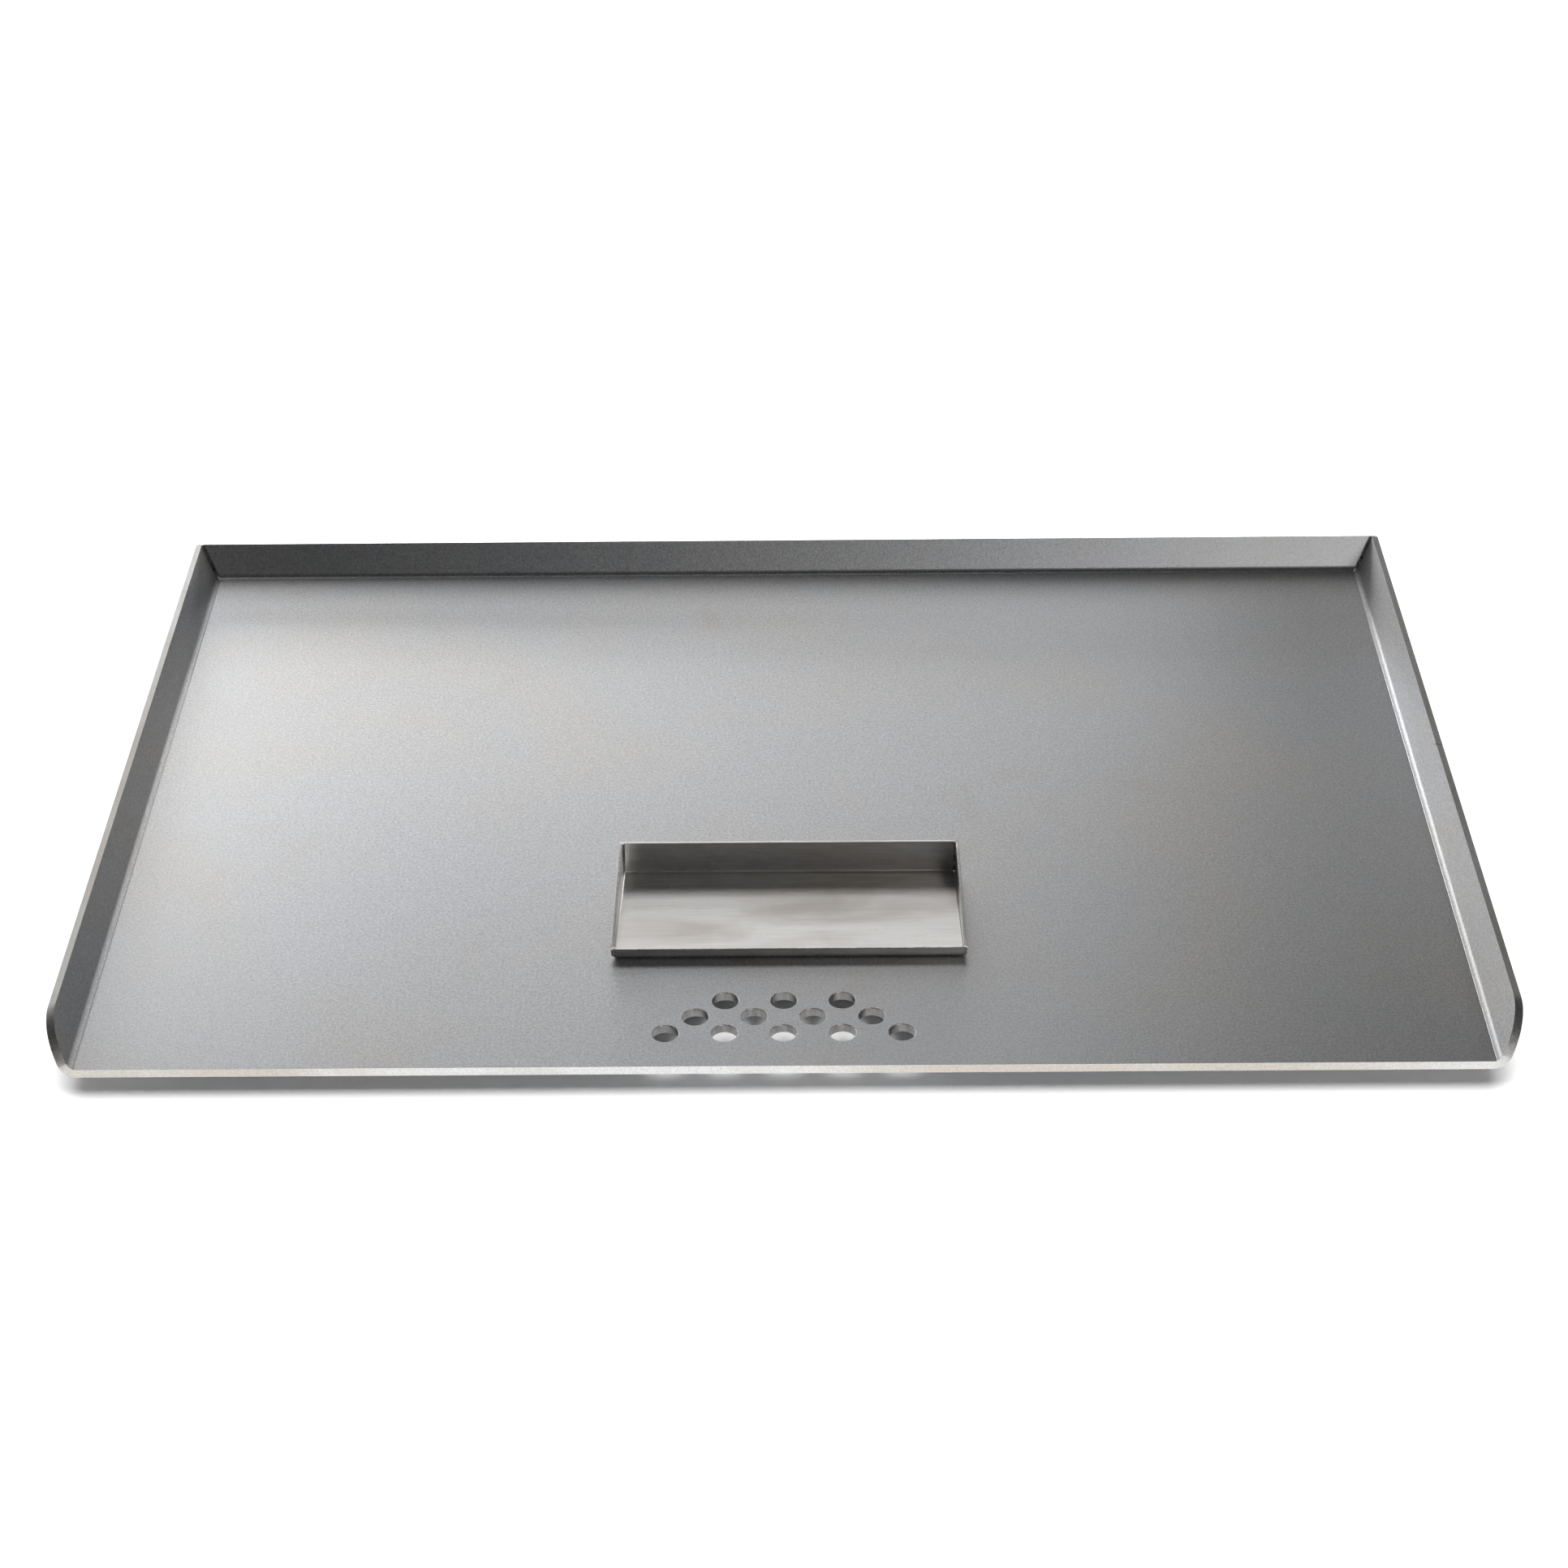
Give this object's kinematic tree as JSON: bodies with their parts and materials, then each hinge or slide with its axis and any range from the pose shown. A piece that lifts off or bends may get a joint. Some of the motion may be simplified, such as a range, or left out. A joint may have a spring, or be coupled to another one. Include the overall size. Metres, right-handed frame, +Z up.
{
  "type": "flat top griddle",
  "caption": "Folded steel griddle plate with flared walls on three sides, drain holes at its open front edge, welded bracing underneath and a loose wedge-shaped grease tray.",
  "frame": {"origin": "centre of the bounding box's base, on the surface that the bars under the plate stand on", "axes": "+X to the user's right along the long side, +Y from the open front edge to the rear wall, +Z up"},
  "size_m": [0.724, 0.4952, 0.0384],
  "materials": {
    "plate_steel": "matte, fine-grained bare steel",
    "plate_weld": "ground weld",
    "bar_steel": "hot-rolled, blue-grey mill scale",
    "stitch_weld": "rippled weld bead with heat tint",
    "tray_steel": "fine brushed stainless sheet",
    "tray_weld": "small weld bead with brown and blue heat tint"
  },
  "bodies": {
    "griddle": {"brace_centre": "bar_steel", "brace_centre_joint_weld_front": "stitch_weld", "brace_centre_joint_weld_rear": "stitch_weld", "brace_centre_weld_1": "stitch_weld", "brace_centre_weld_2": "stitch_weld", "brace_front": "bar_steel", "brace_front_weld_1": "stitch_weld", "brace_front_weld_2": "stitch_weld", "brace_front_weld_3": "stitch_weld", "brace_front_weld_4": "stitch_weld", "brace_left": "bar_steel", "brace_left_joint_weld_front": "stitch_weld", "brace_left_joint_weld_rear": "stitch_weld", "brace_left_weld_1": "stitch_weld", "brace_left_weld_2": "stitch_weld", "brace_rear": "bar_steel", "brace_rear_weld_1": "stitch_weld", "brace_rear_weld_2": "stitch_weld", "brace_rear_weld_3": "stitch_weld", "brace_rear_weld_4": "stitch_weld", "brace_right": "bar_steel", "brace_right_joint_weld_front": "stitch_weld", "brace_right_joint_weld_rear": "stitch_weld", "brace_right_weld_1": "stitch_weld", "brace_right_weld_2": "stitch_weld", "griddle_plate": "plate_steel", "plate_corner_weld_left": "plate_weld", "plate_corner_weld_right": "plate_weld"},
    "tray": {"grease_tray": "tray_steel", "tray_weld_front_left": "tray_weld", "tray_weld_front_right": "tray_weld", "tray_weld_rear_left": "tray_weld", "tray_weld_rear_right": "tray_weld"}
  },
  "joints": [
    {"name": "tray_lift", "type": "slide", "parent": "griddle", "child": "tray", "axis": [0, 0, 1], "range_m": [0, 0.15]}
  ]
}
